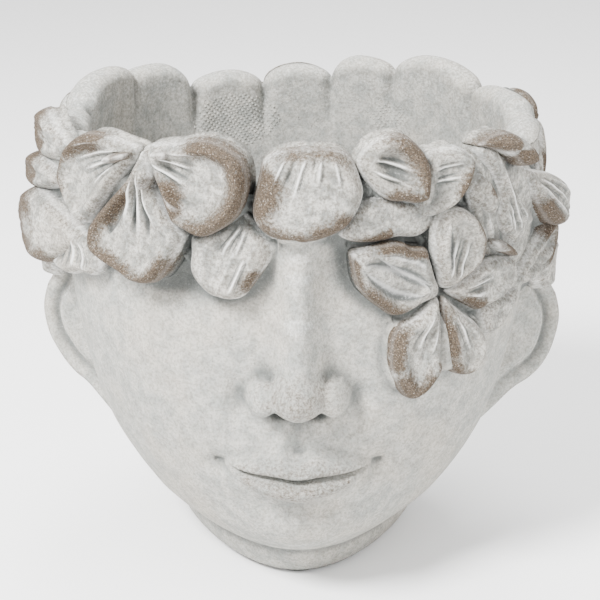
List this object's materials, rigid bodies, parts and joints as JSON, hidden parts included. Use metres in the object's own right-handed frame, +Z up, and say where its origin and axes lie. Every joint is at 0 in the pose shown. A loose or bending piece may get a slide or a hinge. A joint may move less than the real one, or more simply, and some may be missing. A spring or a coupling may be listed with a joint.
{
  "type": "head planter",
  "caption": "Cement planter shaped as a calm head with a wreath of blossoms round its rim, an open bowl, a drain hole and a pull-out rubber plug.",
  "frame": {"origin": "centre of the planter's box, on the surface that it stands on", "axes": "+Z up out of the bowl, the face looks along -Y, +X to the right as seen from the front"},
  "size_m": [0.2083, 0.1874, 0.1801],
  "materials": {
    "cement_head": "whitewashed light grey cement, matt, with fine pits and speckle",
    "cement_wreath": "whitewashed light grey cement with rubbed taupe brown on the petal edges",
    "plug_rubber": "moulded dark grey rubber, matt",
    "pad_rubber": "soft grey rubber, matt"
  },
  "bodies": {
    "planter": {"blossom_back_1": "cement_wreath", "blossom_back_2": "cement_wreath", "blossom_back_3": "cement_wreath", "blossom_back_4": "cement_wreath", "blossom_back_5": "cement_wreath", "blossom_brow_left": "cement_wreath", "blossom_cheek": "cement_wreath", "blossom_temple_right": "cement_wreath", "ear_left": "cement_head", "ear_right": "cement_head", "foot_pads": "pad_rubber", "head_shell": "cement_head", "leaf_cheek": "cement_wreath", "petal_back_1": "cement_wreath", "petal_back_2": "cement_wreath", "petal_back_3": "cement_wreath", "petal_back_4": "cement_wreath", "petal_back_5": "cement_wreath", "petal_back_6": "cement_wreath", "petal_brow_left_low": "cement_wreath", "petal_brow_middle": "cement_wreath", "petal_brow_right_low": "cement_wreath", "petal_ear_left": "cement_wreath", "petal_ear_right": "cement_wreath", "petal_rim_right": "cement_wreath", "petal_rim_right_low": "cement_wreath", "petal_rim_right_side": "cement_wreath", "petal_temple_left": "cement_wreath", "petal_temple_left_low": "cement_wreath", "petal_temple_left_top": "cement_wreath", "petal_temple_left_upper": "cement_wreath"},
    "drain_plug": {"drain_plug": "plug_rubber"}
  },
  "joints": [
    {"name": "plug_pull", "type": "slide", "parent": "planter", "child": "drain_plug", "axis": [0, 0, 1], "range_m": [0, 0.03]}
  ]
}
